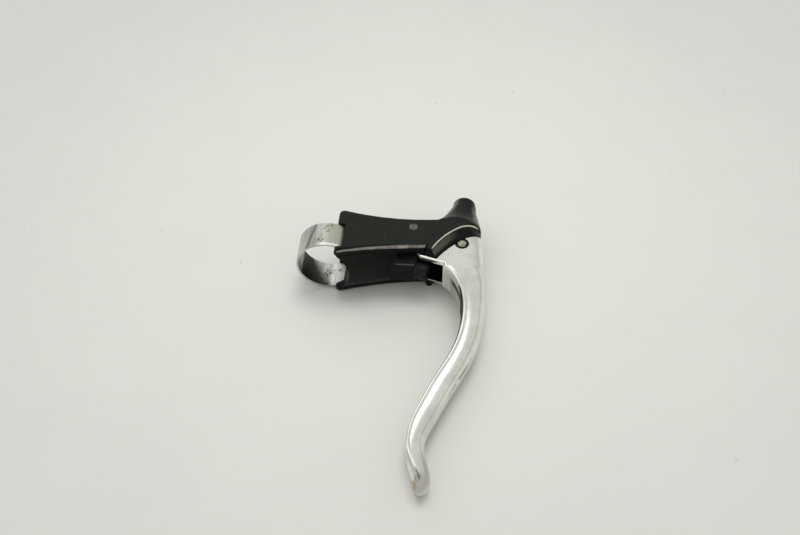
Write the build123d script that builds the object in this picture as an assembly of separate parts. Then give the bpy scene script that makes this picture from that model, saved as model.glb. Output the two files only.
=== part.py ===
from build123d import *
from math import cos, radians, sin, tan
import os

# A drop-bar brake lever, lying on its side. X runs forward from the handlebar, Y along the handlebar
# toward the horn, Z along the lever's pivot. The origin is the middle of the handlebar clamp.
# Sizes are in millimetres, angles in degrees.

# Handlebar and the steel band that goes round it
bar_diameter = 23.8
band_width = 13.5
band_thickness = 0.9
band_loop_radius = 13.3
band_bar_gap = 0.1
band_leg_slope = 28.0
band_bend_radius = 2.5
band_slot_gap = 0.3
tab_width = 9.0
tab_spread = 16.4
tab_taper_start = 11.0
tab_taper_end = 14.5

# Lever pivot and cable anchor
pivot_reach = 39.4
pivot_height = 9.0
pin_diameter = 3.9
anchor_arm = 22.4
anchor_drop = 4.2
running_gap = 0.05

# Body outline in the side view
prong_advance = 5.0
clamp_back = 17.2
clamp_front = 10.4
waist_setback = 10.0
waist_rise = 5.6
shoulder_advance = 14.0
shoulder_rise = 8.1
ridge_mid_setback = 14.4
ridge_mid_drop = 14.4
ridge_end_advance = 5.6
ridge_end_drop = 12.0
notch_advance = 7.2
notch_drop = 9.6
mouth_low_advance = 9.2
mouth_low_drop = 13.4
mouth_mid_advance = 20.5
mouth_mid_rise = 1.2
mouth_nose_advance = 31.0
mouth_nose_rise = 6.7

# Body thickness, edges and walls
clamp_thickness = 28.8
nose_thickness = 23.2
prong_round = 2.2
back_edge_round = 2.5
ridge_chamfer = 1.4
band_notch_advance = 8.6
keel_drop = 3.6
keel_overlap = 3.0
collar_width = 3.0
collar_proud = 0.6
collar_round = 0.9
collar_chamfer = 0.5
lip_low_drop = 2.4
lip_mid_drop = 3.6
lip_nose_drop = 2.8
lip_step = 0.8
top_wall = 1.6
nose_wall = 2.6
cavity_corner = 4.0
partition_setback = 6.4

# Horn, as ovals: height above the pivot, reach to the rear, reach to the front, half-width
horn_ovals = [
    (6.2, 19.6, 9.6, 13.0),
    (10.5, 14.7, 8.4, 10.6),
    (14.5, 11.2, 7.6, 8.6),
    (19.0, 8.4, 6.5, 7.0),
    (24.5, 5.7, 5.7, 5.7),
]
horn_tip_height = 4.3
horn_tip_diameter = 10.0
horn_tip_round = 1.4

# Seat for the cable housing in the horn
housing_diameter = 6.2
housing_depth = 9.0
cable_hole_diameter = 2.6

# Clamp bolt, washer and barrel nut
nut_advance = 21.0
nut_diameter = 8.0
nut_spigot_diameter = 4.8
nut_spigot_stand = 0.8
nut_pocket_setback = 6.4
nut_pocket_advance = 5.4
bolt_tilt = 15.0
bolt_diameter = 5.0
bolt_hole_diameter = 5.6
bolt_seat_distance = 21.5
bolt_tail = 4.4
bolt_head_diameter = 8.5
bolt_head_height = 5.0
bolt_head_chamfer = 0.5
bolt_socket_width = 4.0
bolt_socket_depth = 2.6
tongue_width = 10.8
tongue_height = 7.2
tongue_drop = 17.0
tongue_round = 0.5
washer_diameter = 8.8
washer_thickness = 1.0
thread_gap = 0.05

# Lever root
lever_width = 15.6
cheek_wall = 2.0
cheek_gap = 0.35
mouth_gap = 0.4
head_step_advance = 2.4
eye_diameter = 7.6
arm_advance = 18.6
arm_rise = 3.8
spur_advance = 4.3
spur_drop = 13.7
crotch_advance = 14.4
crotch_drop = 16.6
front_lean = 4.8
root_front_advance = 33.43
root_front_drop = 16.5
root_dish = 0.15
root_rim = 1.4
root_lean = 0.2
root_nose = 1.0
flank_lean = 14.0
flank_nose = 0.5

# Lever blade below the root: rear point and front point from the pivot, width of its flanks, depth of
# the dished back, width of each rim, height of the bead on it, roll that turns the back up at the tip.
# The nose is how far the front reaches beyond its flanks, as a share of half their width.
blade_stations = [
    ((21.7, -27.2), (34.0, -28.0), 15.0, 0.8, 2.2, 0.2, 0),
    ((23.8, -38.0), (33.9, -39.0), 13.8, 2.0, 2.6, 0.3, 0),
    ((23.3, -51.0), (32.7, -52.6), 12.7, 2.6, 2.5, 0.3, 0),
    ((20.2, -64.0), (29.0, -66.5), 11.9, 2.6, 2.1, 0.3, 0),
    ((14.5, -77.0), (22.9, -80.7), 11.3, 2.6, 1.9, 0.3, 0),
    ((9.0, -91.0), (17.6, -93.5), 11.0, 2.6, 1.8, 0.3, 0),
    ((5.7, -101.0), (13.9, -102.5), 10.9, 2.6, 1.7, 0.3, 2),
    ((4.9, -110.0), (12.3, -109.6), 10.9, 2.4, 1.6, 0.3, 6),
    ((5.9, -116.5), (13.4, -115.2), 11.0, 2.2, 1.5, 0.25, 12),
    ((7.9, -122.2), (14.6, -120.0), 11.0, 1.9, 1.2, 0.15, 17),
    ((9.2, -126.4), (15.0, -124.0), 10.6, 1.3, 0.7, 0.1, 19),
    ((10.1, -129.2), (14.4, -127.5), 8.2, 0.7, 0.4, 0.0, 19),
    ((10.9, -131.3), (12.6, -130.6), 3.2, 0.1, 0.2, 0.0, 19),
]

# Cable anchor
anchor_spigot_diameter = 5.4
anchor_barrel_diameter = 8.0
anchor_side_gap = 0.6
anchor_chamfer = 0.7
wire_hole_diameter = 2.2
nipple_diameter = 6.0
nipple_depth = 3.4

# Worked-out places
bar_radius = bar_diameter / 2
loop_x = band_loop_radius - bar_radius - band_bar_gap
leg_slope = radians(band_leg_slope)
tab_inner = (tab_spread - band_thickness) / 2
pivot = Vector(pivot_reach, pivot_height)
anchor = pivot + Vector(anchor_arm, -anchor_drop)
waist = pivot + Vector(-waist_setback, waist_rise)
shoulder = pivot + Vector(shoulder_advance, shoulder_rise)
ridge_mid = pivot + Vector(-ridge_mid_setback, -ridge_mid_drop)
ridge_end = pivot + Vector(ridge_end_advance, -ridge_end_drop)
notch = pivot + Vector(notch_advance, -notch_drop)
mouth_low = pivot + Vector(mouth_low_advance, -mouth_low_drop)
mouth_mid = pivot + Vector(mouth_mid_advance, mouth_mid_rise)
mouth_nose = pivot + Vector(mouth_nose_advance, mouth_nose_rise)
mouth_arc = ThreePointArc(mouth_low, mouth_mid, mouth_nose)
clamp_half = clamp_thickness / 2
nose_half = nose_thickness / 2
lever_half = lever_width / 2
cavity_half = lever_half + cheek_gap
partition_x = pivot.X - partition_setback
crotch = pivot + Vector(crotch_advance, -crotch_drop)
front_way = Vector(cos(radians(front_lean)), sin(radians(front_lean)))
root_front = pivot + Vector(root_front_advance, -root_front_drop)
root_rear = root_front - front_way * front_way.dot(root_front - crotch)
root_plane = Plane(
    origin=(root_front.X, root_front.Y, 0),
    x_dir=(front_way.X, front_way.Y, 0),
    z_dir=(-front_way.Y, front_way.X, 0),
)
nose_top = mouth_nose.Y + collar_round
horn_top = pivot.Y + horn_ovals[-1][0] + horn_tip_height
bolt_slope = radians(bolt_tilt)
bolt_plane = Plane(
    origin=(nut_advance, 0, 0),
    x_dir=(0, 0, 1),
    z_dir=(cos(bolt_slope), -sin(bolt_slope), 0),
)
far = 4 * clamp_thickness


def beside_mouth(point, distance):
    # the point moved away from the centre of the mouth's arc, into the body
    spoke = (point - mouth_arc.arc_center).normalized()
    return point + spoke * distance


def mouth_line(at_low, at_mid, at_nose):
    # arc beside the mouth's edge, at these distances into the body
    return ThreePointArc(
        beside_mouth(mouth_low, at_low),
        beside_mouth(mouth_mid, at_mid),
        beside_mouth(mouth_nose, at_nose),
    )


def lip_line(gap):
    # lower edge of the mouth's lip, or an edge with a gap below it
    return mouth_line(-lip_low_drop - gap, -lip_mid_drop - gap, -lip_nose_drop - gap)


def mouth_strip(lower):
    # flat strip from the top of the collar down to a line beside the mouth's edge
    upper = mouth_line(collar_width, collar_width, collar_width)
    return make_face(upper + lower + Line(upper @ 0, lower @ 0) + Line(upper @ 1, lower @ 1))


def plan_block(grow):
    # outline seen along the handlebar: tapered sides and a round nose, right through the part
    nose_x = mouth_nose.X + grow
    bend_x = mouth_nose.X - nose_half
    sides = Polyline(
        (bend_x, nose_half + grow),
        (prong_advance, clamp_half + grow),
        (prong_advance, -clamp_half - grow),
        (bend_x, -nose_half - grow),
    )
    outline = make_face(sides + ThreePointArc(sides @ 1, (nose_x, 0), sides @ 0))
    prong_corners = outline.vertices().sort_by(Axis.X)[:2]
    outline = fillet(prong_corners, prong_round)
    return extrude(Plane.XZ * outline, far, both=True)


def clamp_block(plan):
    # from the handlebar to the shoulder, with rounded back edges and chamfered front ridges
    back = ThreePointArc((prong_advance, clamp_back), waist, shoulder)
    ridge = ThreePointArc(ridge_end, ridge_mid, (prong_advance, -clamp_front))
    outline = back + Polyline(shoulder, (shoulder.X, mouth_mid.Y), notch, ridge_end)
    outline += ridge + Line(ridge @ 1, back @ 0)
    block = extrude(make_face(outline), far, both=True) & plan
    sides = block.edges().filter_by(lambda e: abs(e.center().Z) > nose_half)
    long_edges = sides.sort_by(Edge.length)[-4:].sort_by(Axis.Y)
    block = fillet(long_edges[2:], back_edge_round)
    sides = block.edges().filter_by(lambda e: abs(e.center().Z) > nose_half)
    ridges = sides.filter_by(lambda e: e.center().Y < ridge_end.Y and e.length > partition_x / 2)
    return chamfer(ridges, ridge_chamfer)


def nose_block(plan):
    # from the shoulder to the nose, ended below by the mouth
    outline = mouth_arc + Polyline(
        mouth_low,
        notch,
        (shoulder.X, mouth_mid.Y),
        (shoulder.X, nose_top),
        (mouth_nose.X, nose_top),
        mouth_nose,
    )
    return extrude(make_face(outline), far, both=True) & plan


def keel():
    # rounded underside between the two ridges
    run = ridge_mid - Vector(prong_advance, -clamp_front)
    length = run.length * (partition_x - prong_advance) / run.X
    half = nose_half - ridge_chamfer
    low = -clamp_front - keel_drop
    arc = ThreePointArc((-clamp_front, half), (low, 0), (-clamp_front, -half))
    inside = keel_overlap - clamp_front
    section = make_face(arc + Polyline(arc @ 1, (inside, -half), (inside, half), arc @ 0))
    return extrude(Plane.YZ.offset(prong_advance) * section, length, dir=run)


def horn_oval(rise, rear, front, half_width):
    middle_x = anchor.X + (front - rear) / 2
    level = Plane.XZ.offset(-pivot.Y - rise)
    return level * Pos(middle_x, 0) * Ellipse((front + rear) / 2, half_width)


def horn():
    # flared foot that runs out over the back, and a round tip
    flared = loft([horn_oval(*oval) for oval in horn_ovals])
    tip = Cone(horn_ovals[-1][-1], horn_tip_diameter / 2, horn_tip_height)
    rim = tip.edges().filter_by(GeomType.CIRCLE).sort_by(Axis.Z)[-1]
    tip = fillet(rim, horn_tip_round)
    return flared + Pos(anchor.X, horn_top - horn_tip_height / 2) * Rot(-90, 0, 0) * tip


def collar():
    # proud bead along the mouth, rounded on its outer edge and chamfered on its inner edge
    bead = extrude(mouth_strip(mouth_arc), far, both=True) & plan_block(collar_proud)
    outer_edges = strip_edges(bead, mouth_arc.radius + collar_width)
    bead = fillet(outer_edges, collar_round)
    return chamfer(strip_edges(bead, mouth_arc.radius), collar_chamfer)


def strip_edges(bead, radius):
    # long edges on the outside of the bead, at a distance from the centre of the mouth's arc
    centre = mouth_arc.arc_center

    def on_side(edge):
        spot = edge @ 0.5
        reach = (Vector(spot.X, spot.Y) - centre).length
        return abs(reach - radius) < collar_chamfer / 2 and edge.length > collar_width

    return bead.edges().filter_by(on_side)


def mouth_lip():
    # wall from the collar's edge down to the lever: sloped on each side, upright round the nose
    foot = mouth_strip(lip_line(0))
    top = Pos(0, 0, nose_half + collar_proud - lip_step) * mouth_strip(mouth_arc)
    lip = loft([Pos(0, 0, cavity_half) * foot, top], ruled=True)
    return lip + mirror(lip, Plane.XY) + extrude(foot, cavity_half, both=True)


def lever_cavity():
    # space for the lever's root: under the top wall, behind the nose, open below
    level = shoulder.Y - top_wall
    drop = Vector(0, -top_wall)
    ceiling = ThreePointArc(Vector(prong_advance, clamp_back) + drop, waist + drop, shoulder + drop)
    outline = ceiling + Polyline(
        shoulder + drop, (far, level), (far, -far), (prong_advance, -far), ceiling @ 0
    )
    side = extrude(make_face(outline), far, both=True)
    front_x = mouth_nose.X - nose_wall
    plan = Pos((partition_x + front_x) / 2, 0) * Rectangle(front_x - partition_x, 2 * cavity_half)
    plan = fillet(plan.vertices().sort_by(Axis.X)[2:], cavity_corner)
    return side & extrude(Plane.XZ * plan, far, both=True)


def strap_line(outward, end_x):
    # edge line of the band, seen along the handlebar, at a distance outward from its inner face
    radius = band_loop_radius + outward
    start = Vector(loop_x + radius * sin(leg_slope), radius * cos(leg_slope))
    tab_z = tab_inner + outward
    bend = Vector(start.X + (start.Y - tab_z) / tan(leg_slope), tab_z)
    bend_radius = band_bend_radius + band_thickness - outward
    leg = FilletPolyline((end_x, tab_z), bend, start, radius=bend_radius)
    loop = ThreePointArc(start, (loop_x - radius, 0), (start.X, -start.Y))
    return leg + loop + mirror(leg, Plane.XZ)


def strap(gap):
    # the band as a solid, or with a gap all round it, as the space it needs
    end_x = nut_advance + tab_width / 2 + gap
    inner = strap_line(-gap, end_x)
    outer = strap_line(band_thickness + gap, end_x)
    low, high = tab_inner - gap, tab_inner + band_thickness + gap
    ends = Line((end_x, low), (end_x, high)) + Line((end_x, -low), (end_x, -high))
    side = extrude(Plane.XZ * make_face(inner + outer + ends), band_width, both=True)
    wide = band_width / 2 + gap
    narrow = tab_width / 2 + gap
    plan = make_face(Polyline(
        (-far, wide), (tab_taper_start, wide), (tab_taper_end, narrow), (nut_advance, narrow),
        (nut_advance, -narrow), (tab_taper_end, -narrow), (tab_taper_start, -wide), (-far, -wide),
        close=True,
    ))
    plan += Pos(nut_advance, 0) * Circle(narrow)
    return side & extrude(plan, far, both=True)


def band_notches():
    # open gap in each prong where the band comes out
    width = band_width + 2 * band_slot_gap
    return Pos(band_notch_advance, 0, 0) * Box(
        far, width, far, align=(Align.MAX, Align.CENTER, Align.CENTER)
    )


def nut_pocket():
    half_height = tab_inner + band_thickness + nut_spigot_stand + band_slot_gap
    length = nut_pocket_setback + nut_pocket_advance
    return Pos(nut_advance - nut_pocket_setback, 0, 0) * Box(
        length,
        tab_width + 2 * band_slot_gap,
        2 * half_height,
        align=(Align.MIN, Align.CENTER, Align.CENTER),
    )


def along_bar(diameter):
    return Rot(90, 0, 0) * Cylinder(diameter / 2, far)


def on_bolt(diameter, start, end):
    # round solid on the bolt's axis, between two distances from the nut
    floor = bolt_plane.offset(start)
    return extrude(floor * Circle(diameter / 2), end - start)


def tongue():
    # block in front of the partition, cut square to the bolt as a seat for its washer
    corner = Pos(partition_x - keel_overlap, pivot.Y - tongue_drop)
    aligned = (Align.MIN, Align.MIN, Align.CENTER)
    block = corner * Box(partition_x, tongue_height, tongue_width, align=aligned)
    block = fillet(block.edges().filter_by(Axis.X), tongue_round)
    return block - extrude(bolt_plane.offset(bolt_seat_distance) * Rectangle(far, far), far)


def make_body():
    plan = plan_block(0)
    body = clamp_block(plan) + nose_block(plan)
    body += keel()
    body += horn() & plan
    body += mouth_lip() & plan
    body += collar()
    body -= lever_cavity()
    body -= along_bar(bar_diameter)
    body -= strap(band_slot_gap)
    body -= band_notches()
    body -= nut_pocket()
    body += tongue()
    body -= on_bolt(bolt_hole_diameter, 0, bolt_seat_distance)
    body -= Pos(pivot.X, pivot.Y) * Cylinder(pin_diameter / 2, far)
    seat = Pos(anchor.X, horn_top) * Rot(90, 0, 0)
    opening = (Align.CENTER, Align.CENTER, Align.MIN)
    body -= seat * Cylinder(housing_diameter / 2, housing_depth, align=opening)
    body -= seat * Cylinder(cable_hole_diameter / 2, horn_top - pivot.Y, align=opening)
    return body


def make_clamp_band():
    eye_diameter = nut_spigot_diameter + 2 * running_gap
    return strap(0) - Pos(nut_advance, 0) * Cylinder(eye_diameter / 2, far)


def make_clamp_nut():
    barrel = Cylinder(nut_diameter / 2, 2 * (tab_inner - running_gap))
    spigot_length = 2 * (tab_inner + band_thickness + nut_spigot_stand)
    barrel += Cylinder(nut_spigot_diameter / 2, spigot_length)
    tapped = bolt_diameter + 2 * thread_gap
    return Pos(nut_advance, 0) * barrel - on_bolt(tapped, -nut_diameter, nut_diameter)


def make_bolt_washer():
    ring = on_bolt(washer_diameter, bolt_seat_distance, bolt_seat_distance + washer_thickness)
    return ring - on_bolt(bolt_hole_diameter, 0, bolt_seat_distance + washer_thickness)


def make_clamp_bolt():
    head_start = bolt_seat_distance + washer_thickness
    head_end = head_start + bolt_head_height
    head = on_bolt(bolt_head_diameter, head_start, head_end)
    top = head.faces().sort_by(Axis.X)[-1]
    head = chamfer(top.edges(), bolt_head_chamfer)
    socket = bolt_plane.offset(head_end) * RegularPolygon(bolt_socket_width / 2, 6, major_radius=False)
    head -= extrude(socket, -bolt_socket_depth)
    return head + on_bolt(bolt_diameter, -bolt_tail, head_start)


def make_pivot_pin():
    # cut flush with the tapered sides of the body
    pin = Pos(pivot.X, pivot.Y) * Cylinder(pin_diameter / 2, far)
    return pin & plan_block(0)


def lever_plan(half):
    # outline across the lever's root: straight cheeks and a round front, along the leaning front edge
    centre_x = -lever_half
    sides = Polyline((centre_x, half), (-far, half), (-far, -half), (centre_x, -half))
    outline = make_face(sides + ThreePointArc(sides @ 1, (centre_x + half, 0), sides @ 0))
    return extrude(root_plane * outline, far, both=True)


def root_side():
    # side view of the root: pivot eye, arm and head inside the body, front stepped down under the lip
    eye_radius = eye_diameter / 2
    eye = Pos(pivot.X, pivot.Y) * Circle(eye_radius)
    spur = pivot + Vector(spur_advance, -spur_drop)
    arm_end = pivot + Vector(arm_advance, arm_rise)
    arm = make_face(Polyline(
        (pivot.X, pivot.Y + eye_radius),
        arm_end,
        (arm_end.X, crotch.Y),
        crotch,
        spur,
        (pivot.X - eye_radius, pivot.Y),
        close=True,
    ))
    step = Pos(anchor.X + head_step_advance, 0) * Rectangle(far, far, align=(Align.MAX, Align.CENTER))
    inside = root_head(mouth_line(-mouth_gap, -mouth_gap, -mouth_gap)) & step
    return eye + arm + inside + root_head(lip_line(mouth_gap))


def root_head(edge):
    # side view of the root's front, from an edge under the mouth down to the blade
    return make_face(edge + Polyline(
        edge @ 1, (far, (edge @ 1).Y), root_front + front_way * far, root_rear, crotch, edge @ 0
    ))


def lever_root():
    # two cheeks with a slot between them, closed at the crotch
    root = extrude(root_side(), far, both=True) & lever_plan(lever_half)
    floor = Polyline(
        crotch - front_way * far,
        crotch + front_way * far,
        crotch + Vector(far, far),
        crotch + Vector(-far, far),
        close=True,
    )
    slot = extrude(make_face(floor), far, both=True)
    root -= slot & lever_plan(lever_half - cheek_wall)
    return fillet(root.edges().filter_by(on_rear_rim), root_rim)


def on_rear_rim(edge):
    # outer edge of a cheek, along its rear from the spur down to the blade
    spot = edge @ 0.5
    rear = spot.X < crotch.X + root_rim and spot.Y < crotch.Y + spur_advance
    return rear and lever_half - abs(spot.Z) < cheek_gap


def blade_section(rear, front, width, dish, rim, bead, roll, lean, nose):
    # oval front, flanks that lean down to a crease, beaded rims and a dished back
    way = front - rear
    depth = way.length
    plane = Plane(origin=(rear.X, rear.Y, 0), x_dir=way, z_dir=way.cross(Vector(0, 0, 1)))
    plane = plane.rotated((0, 0, -roll))
    half = width / 2
    bend = depth - nose * half
    fall = (bend - rim) * tan(radians(lean)) / 2
    corner = rim * (1 - sin(radians(45)))
    rims = ThreePointArc((0, half - rim), (corner, half - corner + bead), (rim, half - fall))
    flank = ThreePointArc((rim, half - fall), ((rim + bend) / 2, half - fall / 4), (bend, half))
    face = EllipticalCenterArc((bend, 0), nose * half, half, -90, arc_size=180)
    back = ThreePointArc((0, half - rim), (dish, 0), (0, rim - half))
    edges = rims + flank + face + back + mirror(rims + flank, Plane.XZ)
    return plane * make_face(edges)


def lever_grip():
    # the S-curved blade, from the root to the recurved tip
    root_sizes = lever_width, root_dish, root_rim, 0, 0, root_lean, root_nose
    sections = [blade_section(root_rear, root_front, *root_sizes)]
    for rear, front, *sizes in blade_stations:
        ends = pivot + Vector(*rear), pivot + Vector(*front)
        sections.append(blade_section(*ends, *sizes, flank_lean, flank_nose))
    return loft(sections)


def make_lever_blade():
    lever = lever_root() + lever_grip()
    eye_hole = pin_diameter + 2 * running_gap
    lever -= Pos(pivot.X, pivot.Y) * Cylinder(eye_hole / 2, far)
    anchor_hole = anchor_spigot_diameter + 2 * running_gap
    return lever - Pos(anchor.X, anchor.Y) * Cylinder(anchor_hole / 2, far)


def make_cable_anchor():
    # trunnion between the cheeks, with a seat for the cable's nipple and a slot for its wire
    spigots = Cylinder(anchor_spigot_diameter / 2, lever_width)
    spigots = chamfer(spigots.edges().filter_by(GeomType.CIRCLE), anchor_chamfer)
    length = lever_width - 2 * (cheek_wall + anchor_side_gap)
    trunnion = spigots + Cylinder(anchor_barrel_diameter / 2, length)
    trunnion -= Rot(90, 0, 0) * Cylinder(wire_hole_diameter / 2, far)
    seat = Pos(0, -anchor_barrel_diameter / 2) * Rot(-90, 0, 0)
    trunnion -= seat * Cylinder(
        nipple_diameter / 2, nipple_depth, align=(Align.CENTER, Align.CENTER, Align.MIN)
    )
    trunnion -= Box(
        far, far, wire_hole_diameter, align=(Align.MIN, Align.CENTER, Align.CENTER)
    )
    return Pos(anchor.X, anchor.Y) * trunnion


parts = {
    "body": make_body,
    "clamp_band": make_clamp_band,
    "clamp_nut": make_clamp_nut,
    "clamp_bolt": make_clamp_bolt,
    "bolt_washer": make_bolt_washer,
    "pivot_pin": make_pivot_pin,
    "lever_blade": make_lever_blade,
    "cable_anchor": make_cable_anchor,
}

os.makedirs("parts", exist_ok=True)
for name, make in parts.items():
    export_step(make(), os.path.join("parts", name + ".step"))
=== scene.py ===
import math
import bpy
import numpy as np
from mathutils import Matrix, Vector

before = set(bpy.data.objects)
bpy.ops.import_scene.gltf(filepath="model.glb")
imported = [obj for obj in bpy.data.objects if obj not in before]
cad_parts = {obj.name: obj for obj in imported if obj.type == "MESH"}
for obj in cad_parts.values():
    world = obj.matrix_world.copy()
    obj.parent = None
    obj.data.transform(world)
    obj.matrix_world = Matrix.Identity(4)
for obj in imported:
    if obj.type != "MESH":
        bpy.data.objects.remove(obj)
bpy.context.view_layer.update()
mm = 0.001
print("frame loaded", sorted(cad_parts))


class Wire:
    # one output socket of a paint; arithmetic on it adds Math nodes
    def __init__(self, paint, socket):
        self.paint = paint
        self.socket = socket

    def math(self, operation, *inputs):
        return self.paint.node("ShaderNodeMath", {"operation": operation}, dict(enumerate(inputs)))

    def __add__(self, other):
        return self.math("ADD", self, other)

    def __radd__(self, other):
        return self.math("ADD", other, self)

    def __sub__(self, other):
        return self.math("SUBTRACT", self, other)

    def __rsub__(self, other):
        return self.math("SUBTRACT", other, self)

    def __mul__(self, other):
        return self.math("MULTIPLY", self, other)

    def __rmul__(self, other):
        return self.math("MULTIPLY", other, self)

    def __truediv__(self, other):
        return self.math("DIVIDE", self, other)

    def __rtruediv__(self, other):
        return self.math("DIVIDE", other, self)

    def __pow__(self, other):
        return self.math("POWER", self, other)

    def __rpow__(self, other):
        return self.math("POWER", other, self)

    def __neg__(self):
        return self.math("MULTIPLY", self, -1.0)

    def __abs__(self):
        return self.math("ABSOLUTE", self)


class Paint:
    # a material or world, the look it is made from, and the few moves that build its nodes
    # a look holds colours (red, green, blue, how far they cover), noises (scale per mm, detail),
    # cells (scale per mm), bumps (strength, depth in mm) and the limits of masks
    def __init__(self, owner, look, shader="Principled BSDF"):
        owner.use_nodes = True
        self.owner = owner
        self.look = look
        self.tree = owner.node_tree
        self.shader = self.tree.nodes[shader]

    def feed(self, socket, value):
        if isinstance(value, Wire):
            self.tree.links.new(value.socket, socket)
        else:
            socket.default_value = value

    def node(self, kind, settings=None, sockets=None, out=0):
        made = self.tree.nodes.new(kind)
        for key, value in (settings or {}).items():
            setattr(made, key, value)
        for key, value in (sockets or {}).items():
            self.feed(made.inputs[key], value)
        return Wire(self, made.outputs[out])

    def shade(self, **sockets):
        for key, value in sockets.items():
            self.feed(self.shader.inputs[key.replace("_", " ")], value)

    def parts(self, vector):
        # the three numbers of a vector
        return [self.node("ShaderNodeSeparateXYZ", None, {0: vector}, axis) for axis in range(3)]

    def vector(self, operation, sockets, out=0):
        return self.node("ShaderNodeVectorMath", {"operation": operation}, sockets, out)

    def place(self):
        # object coordinates in millimetres
        metres = self.node("ShaderNodeTexCoord", out="Object")
        return self.vector("SCALE", {0: metres, "Scale": 1 / mm})

    def facing(self):
        # surface direction in the object's frame, as three numbers
        return self.parts(self.node("ShaderNodeTexCoord", out="Normal"))

    def stretched(self, spot, name):
        return self.vector("MULTIPLY", {0: spot, 1: self.look[name]})

    def toward(self, way, other):
        return self.vector("DOT_PRODUCT", {0: way, 1: other}, "Value")

    def apart(self, spot, other):
        return self.vector("DISTANCE", {0: spot, 1: other}, "Value")

    def noise(self, spot, name):
        scale, detail = self.look[name]
        sockets = {"Vector": spot, "Scale": scale, "Detail": detail, "Roughness": 0.55}
        return self.node("ShaderNodeTexNoise", None, sockets)

    def cells(self, spot, name):
        # distance to the nearest of many scattered points
        return self.node("ShaderNodeTexVoronoi", None, {"Vector": spot, "Scale": self.look[name]})

    def smooth(self, value, low, high):
        # 0 below low, 1 above high, smooth in the middle
        sockets = {"Value": value, "From Min": low, "From Max": high}
        return self.node("ShaderNodeMapRange", {"interpolation_type": "SMOOTHSTEP"}, sockets)

    def on(self, value, name):
        # a mask that rises between the two named limits
        return self.smooth(value, *self.look[name])

    def off(self, value, name):
        # one that falls between them
        return 1 - self.on(value, name)

    def span(self, value, name):
        # one that rises between the first two of four limits and falls between the last two
        first, second, third, fourth = self.look[name]
        return self.smooth(value, first, second) * (1 - self.smooth(value, third, fourth))

    def coats(self, tone, *masks):
        # each mask lays its own named colour over those before it, as far as that colour covers
        for mask, name in masks:
            *tint, cover = self.look[name]
            sockets = {0: cover * mask, 6: tone, 7: (*tint, 1.0)}
            tone = self.node("ShaderNodeMix", {"data_type": "RGBA"}, sockets, 2)
        return tone

    def bump(self, height, name, under=None):
        strength, depth = self.look[name]
        sockets = {"Height": height, "Strength": strength, "Distance": depth * mm}
        if under:
            sockets["Normal"] = under
        return self.node("ShaderNodeBump", None, sockets)


def colour(red, green, blue, cover=1.0):
    return (red, green, blue, cover)


def fromCentre(x, y, centre):
    # distance in the plane of the lever
    return ((x - centre[0]) ** 2 + (y - centre[1]) ** 2) ** 0.5


def dress(name, paint):
    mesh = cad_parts[name].data
    mesh.materials.clear()
    mesh.materials.append(paint.owner)


enamelLook = {
    "black": colour(0.004, 0.005, 0.0034),
    "dull": colour(0.0135, 0.0148, 0.0113),
    "side": colour(0.0153, 0.0192, 0.0138),
    "hornHighlight": colour(0.15, 0.155, 0.14),
    "lipHighlight": colour(0.085, 0.084, 0.066),
    "bareAndHighlight": colour(0.36, 0.355, 0.33, 0.85),
    "fleck": colour(0.36, 0.355, 0.33, 0.7),
    "cream": colour(0.62, 0.6, 0.48),
    "rust": colour(0.5, 0.4, 0.34, 0.8),
    "rough": 0.28,
    "specular": 0.095,
    "grain": (2.2, 2),
    "grainBump": (0.05, 0.06),
    "dents": (0.35, 3),
    "dentsBump": (0.12, 0.25),
    "blotch": (0.12, 4),
    "blotchDull": (0.35, 0.7),
    "blotchRough": (0.3, 0.75),
    "nearBar": (8, 34),  # x, mm, as all places and widths here
    "horn": (14, 20),  # y
    "sideFacing": (0.86, 0.97),
    "behindFacing": (0.35, 0.65),  # of the horn, on its back where its painted highlight lies
    "frontFacing": (0.5, 0.8),
    "hornSheenStart": (17, 22),  # y
    "hornSheenEnd": (25, 36),  # y, at the front
    "ridgeFacing": (0.55, 0.95),
    "ridgeDepth": (10.8, 11.4),  # z
    "ridgeCentre": (54.32, -165.16),  # of the arc that the front ridge follows
    "ridgeRadius": 163.1,  # along the middle of the rubbed line
    "ridgeLevel": 37,  # x where that line is on the arc
    "ridgeDrop": 0.026,  # per mm toward the handlebar
    "ridgeThin": 0.006,  # per mm toward the mouth
    "ridgeWidth": (0.45, 0.92),
    "rubStretch": (0.35, 1, 1),
    "rub": (0.9, 4),
    "rubShow": (0.35, 0.68),
    "rustMiddle": 35.5,  # x
    "rustReach": (1.2, 3.5),
    "blockFacing": (0.3, 0.8),
    "blockDepth": (5.6, 6.4),  # z
    "blockStart": (32, 33.5),  # x
    "mouthCentre": (81.44, -18.14),  # of the arc that the mouth's edge follows
    "mouthRadius": 35.9,
    "edgeWidth": (0.2, 0.3),
    "edgeFacing": (0.45, 0.6),
    "edgeStart": (-4.4, -2.5),  # y
    "edgeEnd": (67.5, 69.5),  # x
    "lipFacing": (0.2, 0.35),
    "lipLean": (0.5, 0.6, 0.82, 0.9),
    "lipDepth": (8.7, 9.9),  # z
    "lipLength": (47.0, 49.5, 53.0, 61.0),  # x
    "fleckCells": 0.55,
    "fleckSize": (0.09, 0.16),
    "fleckPatch": (0.16, 2),
    "fleckWhere": (0.56, 0.66),
    "fleckFacing": (0.8, 0.95),
    "fleckEnd": (20, 34),  # x
}


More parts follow.
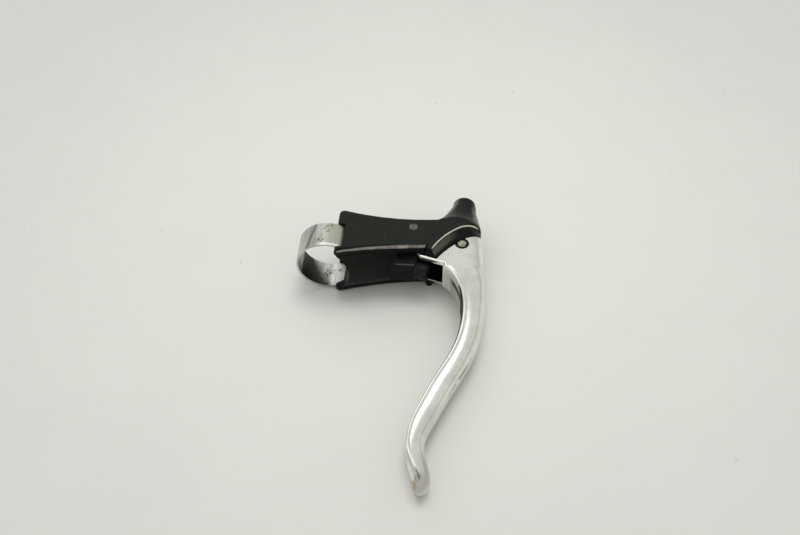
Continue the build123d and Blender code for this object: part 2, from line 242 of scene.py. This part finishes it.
def enamelPaint(look):
    p = Paint(bpy.data.materials.new("worn_black_enamel"), look)
    spot = p.place()
    x, y, z = p.parts(spot)
    nx, ny, nz = p.facing()
    # duller toward the handlebar, blackest on the horn
    blotch = p.noise(spot, "blotch")
    horn = p.on(y, "horn")
    faded = 0.6 * p.on(blotch, "blotchDull") + 0.4 * p.off(x, "nearBar")
    # painted light: the flat sides get a lighter, greener black than the front and underside, mottled
    sideLight = p.on(abs(nz), "sideFacing") * (1 - 0.6 * horn)
    # painted highlight on the horn: on its back, and at the front above the mouth
    hornSheen = 0.9 * p.on(-nx, "behindFacing") + p.on(nx, "frontFacing") * p.off(y, "hornSheenEnd")
    # chamfered ridge, rubbed to the metal along a line that thins toward the mouth
    chamfer = -2 * ny * abs(nz)  # 1 on a face halfway between front and side
    across = fromCentre(x, y, look["ridgeCentre"]) - look["ridgeRadius"]
    across = abs(across + look["ridgeDrop"] * (look["ridgeLevel"] - x))
    ridge = p.on(chamfer, "ridgeFacing") * p.on(abs(z), "ridgeDepth")
    ridge = ridge * p.off(across + look["ridgeThin"] * x, "ridgeWidth")
    rub = p.noise(p.stretched(spot, "rubStretch"), "rub")
    ridge = ridge * (0.45 + 0.55 * p.on(rub, "rubShow"))
    redness = ridge * p.off(abs(x - look["rustMiddle"]), "rustReach")
    # painted highlight on the thin edges of the block that carries the bolt
    blockHighlight = p.on(chamfer, "blockFacing") * p.off(abs(z), "blockDepth") * p.on(x, "blockStart")
    # real wear on the ridge, painted highlight on the block's edges
    wearAndHighlight = ridge + 0.3 * blockHighlight
    # bare edge of the mouth's collar
    mx, my = look["mouthCentre"]
    out = fromCentre(x, y, look["mouthCentre"])
    inward = (nx * (mx - x) + ny * (my - y)) / out
    edge = p.on(inward, "edgeFacing") * p.off(abs(out - look["mouthRadius"]), "edgeWidth")
    edge = edge * p.off(x, "edgeEnd") * p.on(y, "edgeStart")
    # painted highlight on the lip below that edge, most at its near end
    lip = p.on(inward, "lipFacing") * p.span(abs(nz), "lipLean")
    lip = lip * p.on(abs(z), "lipDepth") * p.span(x, "lipLength")
    flecks = p.off(p.cells(spot, "fleckCells"), "fleckSize")
    flecks = flecks * p.on(p.noise(spot, "fleckPatch"), "fleckWhere")
    flecks = flecks * p.on(abs(nz), "fleckFacing") * p.off(x, "fleckEnd")
    tone = p.coats(
        look["black"],
        (faded * (1 - horn), "dull"),
        (sideLight * (0.65 + 0.5 * blotch), "side"),
        (hornSheen * p.on(y, "hornSheenStart"), "hornHighlight"),
        (lip, "lipHighlight"),
        (wearAndHighlight, "bareAndHighlight"),
        (redness, "rust"),
        (flecks, "fleck"),
        (edge, "cream"),
    )
    rough = look["rough"] + 0.16 * p.on(blotch, "blotchRough") + 0.1 * edge
    p.shade(Base_Color=tone, Metallic=0.6 * wearAndHighlight, Roughness=rough)
    skin = p.bump(p.noise(spot, "grain"), "grainBump")
    dents = p.bump(p.noise(spot, "dents"), "dentsBump", skin)
    p.shade(Specular_IOR_Level=look["specular"], Normal=dents)
    return p


alloyLook = {
    "bright": colour(0.875, 0.873, 0.82),
    "worn": colour(0.72, 0.718, 0.662),
    "tip": colour(0.56, 0.555, 0.51),
    "tipShade": colour(0.2, 0.2, 0.18, 0.75),
    "paler": colour(0.95, 0.945, 0.92),
    "grime": colour(0.2, 0.19, 0.16, 0.6),
    "stain": colour(0.4, 0.33, 0.17, 0.75),
    "shadeTone": colour(0.05, 0.054, 0.045),
    "rough": 0.1,
    "cloud": (0.09, 3),
    "cloudWorn": (0.35, 0.7),
    "cloudRough": (0.3, 0.8),
    "scratchStretch": (5, 0.22, 5),
    "scratch": (1.2, 3),
    "scratchRough": (0.5, 0.7),
    "scratchBump": (0.015, 0.05),
    "nickStretch": (1, 0.5, 1),
    "nickCells": 0.32,
    "nickSize": (0.05, 0.1),
    "nickPatch": (0.11, 2),
    "nickWhere": (0.55, 0.65),
    "nickBump": (-0.25, 0.1),
    "tipLength": (101, 112),  # down the blade, mm, as all lengths here
    "tipTop": (-1.0, 2.5),  # z
    "brinkSpot": (50.6, -117.9, 4.9),  # where the bead runs out
    "brinkReach": (0.6, 2.6),
    "beadStart": 2.03,  # the bead beside the tip runs straight: x where y is 0, and x per y
    "beadSlope": 0.412,
    "beadTop": (2.6, 3.2),  # z
    "beadWidth": (0.25, 0.65),
    "beadLength": (98, 104, 112, 115),
    "creaseWidth": (0.15, 0.55),
    "creaseLength": (112, 116, 118, 119),
    "scoopFacing": (0.45, 0.6),
    "scoopDepth": (-1.5, 0.5),  # z
    "scoopLength": (103, 109, 114, 117),
    "dishFacing": (0.45, 0.75),
    "dishEnd": (34, 46),
    "grooveSpot": (-12, 1.3),  # y and z where the groove of the dish begins
    "grooveSlope": 0.38,  # z per y
    "grooveLow": (-2.2, -0.8),  # from the middle of the groove, as the next two
    "grooveHigh": (0.8, 2.2),
    "stripStart": (1.4, 2.6),
    "stripEnd": (18.5, 21),
    "throatEnd": (10.5, 14),
    "dishShadeStart": (11.3, 14),
    "stainSpot": (48.6, -116.2, -3.8),  # in the dish at the tip
    "stainReach": (2.6, 4.8),
    "stainEdge": (0.6, 3),
    "stainRagged": 2.5,
    "spurSide": 6.8,  # z of the line along each spur
    "spurWidth": (0.25, 0.5),
    "spurFacing": (0.5, 0.8),
    "spurEnd": (50, 53),  # x
    "anchorSpot": (61.8, 4.8),  # x and y
    "anchorReach": (3.15, 3.45),
    "anchorTop": (7.0, 7.4),  # z
    "seamSide": 2.0,  # z
    "seamWidth": (0.3, 1.0),
    "seamFacing": (0.6, 0.75),
    "seamLength": (54, 58, 68, 84),
    "dashStretch": (0.4, 0.4, 0.1),
    "dash": (0.7, 3),
    "dashShow": (0.38, 0.58),
}


def alloyPaint(look):
    p = Paint(bpy.data.materials.new("polished_forged_alloy"), look)
    spot = p.place()
    x, y, z = p.parts(spot)
    nx, ny = p.facing()[:2]
    down = -y  # grows toward the tip
    cloud = p.noise(spot, "cloud")
    scratch = p.noise(p.stretched(spot, "scratchStretch"), "scratch")
    nicks = p.off(p.cells(p.stretched(spot, "nickStretch"), "nickCells"), "nickSize")
    nicks = nicks * p.on(p.noise(spot, "nickPatch"), "nickWhere")
    # the tip is worn dull; painted shade where the crease ends at its brink
    tip = p.on(down, "tipLength")
    tipShade = p.off(p.apart(spot, look["brinkSpot"]), "brinkReach")
    # painted highlights: the bead beside the tip, the scoop behind it, and the dish where the fork
    # begins
    beside = abs(x - look["beadStart"] + look["beadSlope"] * y)
    beadTop = p.on(z, "beadTop")
    bead = p.off(beside, "beadWidth") * beadTop * p.span(down, "beadLength")
    scoop = p.on(-nx, "scoopFacing") * p.off(z, "scoopDepth") * p.span(down, "scoopLength")
    dish = p.on(-nx, "dishFacing") * p.off(down, "dishEnd")
    grooveY, grooveZ = look["grooveSpot"]
    groove = z - grooveZ - look["grooveSlope"] * (y - grooveY)  # height above its middle
    upper = p.off(down, "stripEnd")
    strip = p.on(groove, "stripStart") * upper
    throat = dish * (strip + 0.7 * (1 - strip) * p.off(down, "throatEnd"))
    paler = bead + scoop + 0.85 * throat
    ragged = look["stainRagged"] * p.noise(spot, "stainEdge")
    stain = p.off(p.apart(spot, look["stainSpot"]) + ragged, "stainReach")
    # painted shade: a thin film over the dish and more in its groove, for the dark it reflects; in the
    # crease at the tip, along the spurs of the fork, in the gap round the anchor; and a dark dashed
    # line along the front
    dishShade = dish * p.on(groove, "grooveLow") * p.on(down, "dishShadeStart")
    dishShade = dishShade * (1 - p.on(groove, "grooveHigh") * upper)
    creaseShade = p.off(beside, "creaseWidth") * beadTop * p.span(down, "creaseLength")
    spurShade = p.off(abs(abs(z) - look["spurSide"]), "spurWidth")
    spurShade = spurShade * p.on(-ny, "spurFacing") * p.off(x, "spurEnd")
    anchorGapShade = p.off(fromCentre(x, y, look["anchorSpot"]), "anchorReach") * p.on(z, "anchorTop")
    dash = p.on(p.noise(p.stretched(spot, "dashStretch"), "dash"), "dashShow")
    seam = p.off(abs(z - look["seamSide"]), "seamWidth") * p.on(nx, "seamFacing")
    seam = seam * dash * p.span(down, "seamLength")
    paintedShade = 0.7 * seam + spurShade + 0.1 * dish + 0.9 * dishShade + anchorGapShade + 0.8 * creaseShade
    tone = p.coats(
        look["bright"],
        (p.on(cloud, "cloudWorn"), "worn"),
        (tip * p.on(z, "tipTop"), "tip"),
        (tipShade, "tipShade"),
        (paler, "paler"),
        (nicks, "grime"),
        (stain, "stain"),
        (paintedShade, "shadeTone"),
    )
    rough = look["rough"] + 0.05 * p.on(cloud, "cloudRough") + 0.04 * p.on(scratch, "scratchRough")
    p.shade(Base_Color=tone, Metallic=1.0 - 0.375 * stain - 0.75 * paler, Roughness=rough + 0.22 * tip)
    p.shade(Normal=p.bump(scratch, "scratchBump", p.bump(nicks, "nickBump")))
    return p


bandLook = {
    "bright": colour(0.6, 0.6, 0.575),
    "dull": colour(0.36, 0.355, 0.325, 0.8),
    "topShade": colour(0.36, 0.355, 0.325, 0.35),
    "rust": colour(0.055, 0.05, 0.03, 0.85),
    "bloom": colour(0.3, 0.28, 0.15),
    "olive": colour(0.44, 0.445, 0.365, 0.7),
    "scuff": colour(0.16, 0.16, 0.145, 0.75),
    "rimHighlight": colour(0.95, 0.95, 0.93, 0.7),
    "shade": colour(0.06, 0.064, 0.05),
    "rough": 0.34,
    "streakStretch": (0.9, 0.06, 0.9),
    "streak": (0.6, 4),
    "streakDull": (0.4, 0.7),
    "streakRough": (0.35, 0.7),
    "streakBump": (0.05, 0.1),
    "patch": (0.16, 3),
    "patchBloom": (0.45, 0.7),
    "pitCells": 0.8,
    "pitSize": (0.27, 0.48),
    "pitBump": (-0.5, 0.15),
    "pitted": (  # middles of the pitted places, mm, as all places here
        (1.6, 3.8, 14.2),
        (-1.8, -3.2, 13.9),
        (1.0, 1.6, -13.2),
        (7.0, 3.4, -12.0),
        (-0.6, -1.8, -13.2),
    ),
    "pittedEdge": (0.5, 2),
    "pittedRagged": 6,
    "pittedReach": (4.4, 6.2),
    "loopX": 1.3,  # middle of the loop
    "insideFacing": (2.0, 6.0),  # mm, because it grows with the distance from that middle
    "shadeEdgeStretch": (1, 0.4, 1),
    "shadeEdge": (0.5, 4),
    "shadeEdgeRagged": 5,
    "shadeEdgeSlope": 0.65,  # x per y
    "shadeEdgeStart": (-11.5, -10.6),  # x
    "shadeEdgeEnd": (-2.5, 4.0),
    "topFacing": (0.3, 0.6),
    "crownFacing": (0.7, 0.98),
    "oliveStart": (-3.0, 3.0),  # x
    "scuffX": -5.7,  # where y is 0
    "scuffSlope": 0.22,  # x per y
    "scuffWidth": (0.3, 1.1),
    "rimEdge": (5.0, 5.6),  # toward the near rim
    "rimX": 2.5,  # middle of its bright stretch
    "rimLength": (3.5, 6.0),
}


def bandPaint(look):
    p = Paint(bpy.data.materials.new("plated_band_steel"), look)
    spot = p.place()
    x, y, z = p.parts(spot)
    nx, nz = p.facing()[::2]
    streak = p.noise(p.stretched(spot, "streakStretch"), "streak")
    patch = p.noise(spot, "patch")
    ragged = look["pittedRagged"] * p.noise(spot, "pittedEdge")
    pitted = sum(p.off(p.apart(spot, place) + ragged, "pittedReach") for place in look["pitted"])
    pits = p.off(p.cells(spot, "pitCells"), "pitSize") * pitted
    # painted shade on the left of the inside of the loop
    inside = p.on(nx * (look["loopX"] - x) - nz * z, "insideFacing")
    shadeEdge = look["shadeEdgeRagged"] * p.noise(p.stretched(spot, "shadeEdgeStretch"), "shadeEdge")
    shadeEdge = shadeEdge + x + look["shadeEdgeSlope"] * y
    dark = inside * p.on(x, "shadeEdgeStart") * p.off(shadeEdge, "shadeEdgeEnd")
    # outside: painted shade dulling the top, olive toward the body, one scuff across, a painted
    # highlight along the near rim
    outside = 1 - inside
    top = p.on(nz, "topFacing") * outside
    scuff = p.off(abs(x - look["scuffX"] - look["scuffSlope"] * y + patch), "scuffWidth")
    rimHighlight = top * p.on(-y, "rimEdge") * p.off(abs(x - look["rimX"]), "rimLength")
    tone = p.coats(
        look["bright"],
        (p.on(streak, "streakDull"), "dull"),
        (dark, "shade"),
        (p.on(nz, "crownFacing") * outside, "topShade"),
        (top * p.on(x, "oliveStart"), "olive"),
        (scuff * top, "scuff"),
        (rimHighlight, "rimHighlight"),
        (pitted * (0.08 + 0.4 * p.on(patch, "patchBloom")), "bloom"),
        (pits, "rust"),
    )
    rough = look["rough"] + 0.1 * p.on(streak, "streakRough") + 0.3 * pits
    p.shade(Base_Color=tone, Metallic=1.0 - 0.8 * pits - 0.35 * rimHighlight, Roughness=rough)
    p.shade(Normal=p.bump(pits, "pitBump", p.bump(streak, "streakBump")))
    return p


steelLook = {
    "paintedShade": colour(0.012, 0.012, 0.01),
    "rough": 0.42,
    "mottle": (0.8, 4),
    "mottleTarnish": (0.35, 0.7),
    "mottleBump": (0.15, 0.1),
    "endFacing": (0.8, 0.95),
}
pinLook = {
    **steelLook,
    "name": "dull_pin_steel",
    "face": colour(0.16, 0.16, 0.143),
    "tarnish": colour(0.09, 0.09, 0.08),
}
anchorLook = {
    **steelLook,
    "name": "plated_anchor",
    "face": colour(0.46, 0.455, 0.36),
    "tarnish": colour(0.22, 0.19, 0.12),
}


def steelPaint(look):
    p = Paint(bpy.data.materials.new(look["name"]), look)
    mottle = p.noise(p.place(), "mottle")
    chamfer = p.off(abs(p.facing()[2]), "endFacing")  # painted shade on faces turned away from the ends, the chamfer round each end among them
    tone = p.coats(look["face"], (p.on(mottle, "mottleTarnish"), "tarnish"), (chamfer, "paintedShade"))
    p.shade(Base_Color=tone, Metallic=1.0, Roughness=look["rough"] + 0.15 * mottle)
    p.shade(Normal=p.bump(mottle, "mottleBump"))
    return p


oxideLook = {
    "black": colour(0.006, 0.006, 0.0055),
    "paler": colour(0.02, 0.02, 0.018),
    "rough": 0.4,
    "specular": 0.2,
    "mottle": (0.6, 3),
    "mottleRubbed": (0.5, 0.8),
    "mottleBump": (0.1, 0.1),
}


def oxidePaint(look):
    p = Paint(bpy.data.materials.new("black_oxide_steel"), look)
    mottle = p.noise(p.place(), "mottle")
    tone = p.coats(look["black"], (p.on(mottle, "mottleRubbed"), "paler"))
    p.shade(Base_Color=tone, Roughness=look["rough"] + 0.15 * mottle)
    p.shade(Specular_IOR_Level=look["specular"], Normal=p.bump(mottle, "mottleBump"))
    return p


dress("body", enamelPaint(enamelLook))
dress("lever_blade", alloyPaint(alloyLook))
dress("clamp_band", bandPaint(bandLook))
dress("pivot_pin", steelPaint(pinLook))
steel = steelPaint(anchorLook)
for name in ("cable_anchor", "clamp_nut"):
    dress(name, steel)
oxide = oxidePaint(oxideLook)
for name in ("clamp_bolt", "bolt_washer"):
    dress(name, oxide)
print("paints on", len(bpy.data.materials))


tableLook = {
    "half": 1.6,  # metres from the middle to the edge
    "slope": (0.0436, -0.0637),  # the lever lies tilted: prong, collar and tip touch the table
    "drop": -0.01513,  # metres
    "lines": 24,  # of the grid, each way
    "pale": colour(0.8, 0.802, 0.756),
    "edge": colour(0.67, 0.672, 0.635),
    "mark": colour(0.5, 0.5, 0.46, 0.5),
    "rough": 0.55,
    "middle": (40.0, 60.0, -15.0),  # brightest place, mm
    "lightFalloff": (60, 330),
    "cloud": (0.02, 3),
    "cloudRagged": 60,
    "speckStretch": (1, 0.5, 1),
    "speckCells": 0.075,
    "speckSize": (0.02, 0.06),
    "speckPatch": (0.03, 2),
    "speckWhere": (0.5, 0.6),
}


def makeTable(look):
    # flat sheet z = drop + slope . (x, y) over a square grid of u and v
    n = look["lines"]
    side = np.linspace(-look["half"], look["half"], n)
    u, v = np.meshgrid(side, side)
    height = look["drop"] + look["slope"][0] * u + look["slope"][1] * v
    sheet = np.stack([u, v, height], -1).reshape(-1, 3)
    corner = (np.arange(n - 1)[:, None] * n + np.arange(n - 1)).ravel()
    quads = np.stack([corner, corner + 1, corner + n + 1, corner + n], 1)
    mesh = bpy.data.meshes.new("table")
    mesh.from_pydata(sheet.tolist(), [], quads.tolist())
    table = bpy.data.objects.new("table", mesh)
    bpy.context.collection.objects.link(table)
    p = Paint(bpy.data.materials.new("pale_table"), look)
    spot = p.place()
    # painted falloff of the light: the table darkens away from its brightest middle
    ragged = look["cloudRagged"] * p.noise(spot, "cloud")
    lightFalloff = p.on(p.apart(spot, look["middle"]) + ragged, "lightFalloff")
    specks = p.off(p.cells(p.stretched(spot, "speckStretch"), "speckCells"), "speckSize")
    specks = specks * p.on(p.noise(spot, "speckPatch"), "speckWhere")
    tone = p.coats(look["pale"], (lightFalloff, "edge"), (specks, "mark"))
    p.shade(Base_Color=tone, Roughness=look["rough"])
    mesh.materials.append(p.owner)


makeTable(tableLook)
print("table laid")


lightLook = {
    "low": colour(0.52, 0.515, 0.505),  # walls, near the horizon
    "high": colour(0.7, 0.7, 0.69),  # walls, where they meet the ceiling
    "ceiling": colour(0.63, 0.63, 0.62),
    "panel": colour(1.3, 1.3, 1.28),  # bright patches of ceiling that only the metal shows
    "window": colour(1.5, 1.5, 1.5),  # at the back left
    "lamp": colour(4.5, 4.5, 4.4),  # overhead, too small to show in the metal
    # parts of a direction's unit length: upward, to the back, to the left
    "wallRise": (-0.1, 0.7),
    "ceilingEdge": (0.73, 0.83),
    "windowBack": (0.2, 0.4),
    "windowLeft": (0.06, 0.22, 0.48, 0.56),
    "windowUp": (0.34, 0.42, 0.72, 0.78),
    "panelWays": ((-0.19, -0.1, 0.97), (-0.55, 0.12, 0.83)),
    "panelEdge": (0.95, 0.975),  # cosines where its glow begins and is full
    "lampWay": (0.04, 0.38, 0.92),
    "lampEdge": (0.94, 0.985),
}


def makeLight(look):
    # soft room: grey walls, a window at the back left, a lamp overhead
    world = bpy.data.worlds.new("room")
    bpy.context.scene.world = world
    p = Paint(world, look, "Background")
    way = p.node("ShaderNodeTexCoord")
    x, y, z = p.parts(way)
    mirrored = p.node("ShaderNodeLightPath", out="Is Glossy Ray")
    window = p.on(y, "windowBack") * p.span(-x, "windowLeft") * p.span(z, "windowUp")
    glow = p.coats(
        look["low"],
        (p.on(z, "wallRise"), "high"),
        (p.on(z, "ceilingEdge"), "ceiling"),
        (window, "window"),
    )
    for panelWay in look["panelWays"]:
        lean = p.toward(way, Vector(panelWay).normalized())
        glow = p.coats(glow, (p.on(lean, "panelEdge") * mirrored, "panel"))
    lean = p.toward(way, Vector(look["lampWay"]).normalized())
    glow = p.coats(glow, (p.on(lean, "lampEdge") * (1 - mirrored), "lamp"))
    p.shade(Color=glow, Strength=1.0)


makeLight(lightLook)
print("room lit")


cameraLook = {
    "aim": (0.03335, 0.0077, -0.0142),  # metres
    "away": 0.5582,
    "elevation": 48.0,  # degrees
    "heading": 4.5,
    "lens": 53.37,  # mm, on a sensor this wide
    "sensor": 36.0,
}


def makeCamera(look):
    # the camera's axes, from its heading and elevation, as the columns of a matrix
    turn = math.radians(look["heading"])
    rise = math.radians(look["elevation"])
    level = math.cos(rise)
    ahead = Vector((-math.sin(turn) * level, math.cos(turn) * level, -math.sin(rise)))
    right = Vector((math.cos(turn), math.sin(turn), 0.0))
    up = right.cross(ahead)
    lens = bpy.data.cameras.new("camera")
    lens.lens = look["lens"]
    lens.sensor_width = look["sensor"]
    lens.sensor_fit = "HORIZONTAL"
    holder = bpy.data.objects.new("camera", lens)
    axes = Matrix((right, up, -ahead)).transposed().to_4x4()
    holder.matrix_world = Matrix.Translation(Vector(look["aim"]) - ahead * look["away"]) @ axes
    bpy.context.collection.objects.link(holder)
    bpy.context.scene.camera = holder


makeCamera(cameraLook)
bpy.context.scene.view_settings.view_transform = "Standard"
print("camera set")
